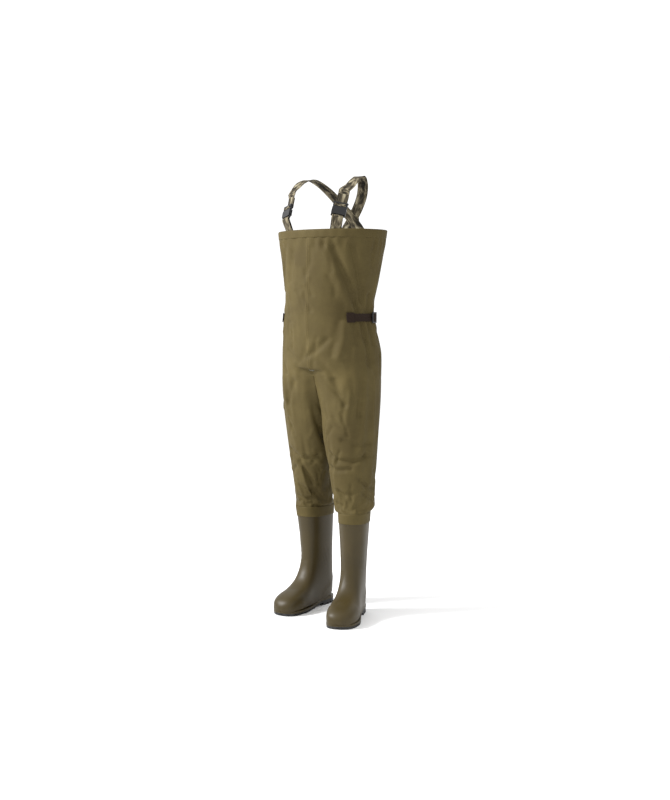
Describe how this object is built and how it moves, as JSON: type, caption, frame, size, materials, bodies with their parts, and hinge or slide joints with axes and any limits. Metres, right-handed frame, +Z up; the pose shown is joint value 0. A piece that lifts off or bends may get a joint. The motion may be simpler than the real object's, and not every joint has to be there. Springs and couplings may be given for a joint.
{
  "type": "chest waders",
  "caption": "Bootfoot chest waders: coated-nylon bib and legs welded to moulded wellington boots, with webbing braces, side-release buckles and a waist belt.",
  "frame": {"origin": "on the ground under the middle of the garment's bounding box, as worn standing", "axes": "+Z up; the wearer faces -Y; +X is the wearer's left"},
  "size_m": [0.4152, 0.3794, 1.4893],
  "materials": {
    "coated_nylon": "matte olive nylon, coated inside",
    "seam_tape": "satin waterproof tape",
    "elastic": "matte woven elastic",
    "brace_webbing": "woven elastic webbing, mottled olive and sand",
    "belt_webbing": "dark brown woven webbing",
    "buckle": "moulded black acetal",
    "boot": "satin moulded green-brown PVC",
    "sole": "matte black moulded PVC",
    "lining": "knitted grey lining"
  },
  "bodies": {
    "bib": {"left_front_panel": "coated_nylon", "right_front_panel": "coated_nylon", "left_back_panel": "coated_nylon", "right_back_panel": "coated_nylon", "crotch_gusset": "coated_nylon", "hem_casing": "coated_nylon", "hem_elastic": "elastic", "centre_front_tape": "seam_tape", "centre_back_tape": "seam_tape", "waist_belt": "belt_webbing", "left_belt_anchor": "belt_webbing", "right_belt_anchor": "belt_webbing", "belt_loops": "coated_nylon", "left_lower_strap": "brace_webbing", "right_lower_strap": "brace_webbing", "left_buckle_socket": "buckle", "right_buckle_socket": "buckle", "left_brace": "brace_webbing", "right_brace": "brace_webbing", "brace_cross_patch": "belt_webbing"},
    "left_buckle_plug": {"left_buckle_plug": "buckle", "left_brace_end": "brace_webbing"},
    "left_outer_latch": {"left_outer_latch": "buckle"},
    "left_inner_latch": {"left_inner_latch": "buckle"},
    "left_belt_slider": {"left_belt_slider": "buckle", "left_belt_bight": "belt_webbing"},
    "left_thigh": {"left_thigh_panel": "coated_nylon", "left_inseam_tape": "seam_tape"},
    "left_shin": {"left_shin_panel": "coated_nylon", "left_joint_tape": "coated_nylon", "left_boot_upper": "boot", "left_boot_lining": "lining", "left_boot_insole": "lining", "left_boot_rand": "boot", "left_outsole": "sole"},
    "right_buckle_plug": {"right_buckle_plug": "buckle", "right_brace_end": "brace_webbing"},
    "right_outer_latch": {"right_outer_latch": "buckle"},
    "right_inner_latch": {"right_inner_latch": "buckle"},
    "right_belt_slider": {"right_belt_slider": "buckle", "right_belt_bight": "belt_webbing"},
    "right_thigh": {"right_thigh_panel": "coated_nylon", "right_inseam_tape": "seam_tape"},
    "right_shin": {"right_shin_panel": "coated_nylon", "right_joint_tape": "coated_nylon", "right_boot_upper": "boot", "right_boot_lining": "lining", "right_boot_insole": "lining", "right_boot_rand": "boot", "right_outsole": "sole"}
  },
  "joints": [
    {"name": "left_buckle_release", "type": "slide", "parent": "bib", "child": "left_buckle_plug", "axis": [0.0467, 0.3548, 0.9338], "range_m": [0, 0.028], "deforming": ["left_brace", "left_outer_latch", "left_inner_latch"]},
    {"name": "left_outer_latch_press", "type": "hinge", "parent": "left_buckle_plug", "child": "left_outer_latch", "pos_m": [0.11551, -0.05753, 1.37142], "axis": [-0.4425, 0.8454, -0.2991], "range_deg": [0, 8], "stiffness_Nm_per_rad": 0.3},
    {"name": "left_inner_latch_press", "type": "hinge", "parent": "left_buckle_plug", "child": "left_inner_latch", "pos_m": [0.08954, -0.06911, 1.37712], "axis": [0.4425, -0.8454, 0.2991], "range_deg": [0, 8], "stiffness_Nm_per_rad": 0.3},
    {"name": "left_belt_slider_travel", "type": "hinge", "parent": "bib", "child": "left_belt_slider", "pos_m": [0.05862, 0.04081, 1.014], "axis": [0, 0, 1], "range_deg": [-8, 8]},
    {"name": "left_hip", "type": "hinge", "parent": "bib", "child": "left_thigh", "pos_m": [0.08436, 0.03444, 0.84], "axis": [-1, 0, 0], "range_deg": [-20, 90], "deforming": ["left_thigh_panel", "left_inseam_tape", "left_front_panel", "left_back_panel", "crotch_gusset", "centre_front_tape", "centre_back_tape"]},
    {"name": "left_knee", "type": "hinge", "parent": "left_thigh", "child": "left_shin", "pos_m": [0.09336, 0.03244, 0.5], "axis": [1, 0, 0], "range_deg": [0, 120], "deforming": ["left_shin_panel"]},
    {"name": "right_buckle_release", "type": "slide", "parent": "bib", "child": "right_buckle_plug", "axis": [-0.0467, 0.3548, 0.9338], "range_m": [0, 0.028], "deforming": ["right_brace", "right_outer_latch", "right_inner_latch"]},
    {"name": "right_outer_latch_press", "type": "hinge", "parent": "right_buckle_plug", "child": "right_outer_latch", "pos_m": [-0.12279, -0.05753, 1.37142], "axis": [-0.4425, -0.8454, 0.2991], "range_deg": [0, 8], "stiffness_Nm_per_rad": 0.3},
    {"name": "right_inner_latch_press", "type": "hinge", "parent": "right_buckle_plug", "child": "right_inner_latch", "pos_m": [-0.09682, -0.06911, 1.37712], "axis": [0.4425, 0.8454, -0.2991], "range_deg": [0, 8], "stiffness_Nm_per_rad": 0.3},
    {"name": "right_belt_slider_travel", "type": "hinge", "parent": "bib", "child": "right_belt_slider", "pos_m": [-0.0819, 0.04081, 1.014], "axis": [0, 0, 1], "range_deg": [-8, 8]},
    {"name": "right_hip", "type": "hinge", "parent": "bib", "child": "right_thigh", "pos_m": [-0.09164, 0.03444, 0.84], "axis": [-1, 0, 0], "range_deg": [-20, 90], "deforming": ["right_thigh_panel", "right_inseam_tape", "right_front_panel", "right_back_panel"]},
    {"name": "right_knee", "type": "hinge", "parent": "right_thigh", "child": "right_shin", "pos_m": [-0.10064, 0.06844, 0.5], "axis": [1, 0, 0], "range_deg": [0, 120], "deforming": ["right_shin_panel"]}
  ],
  "couplings": [
    {"joint": "left_inner_latch_press", "follows": "left_outer_latch_press", "ratio": 1},
    {"joint": "right_inner_latch_press", "follows": "right_outer_latch_press", "ratio": 1}
  ]
}
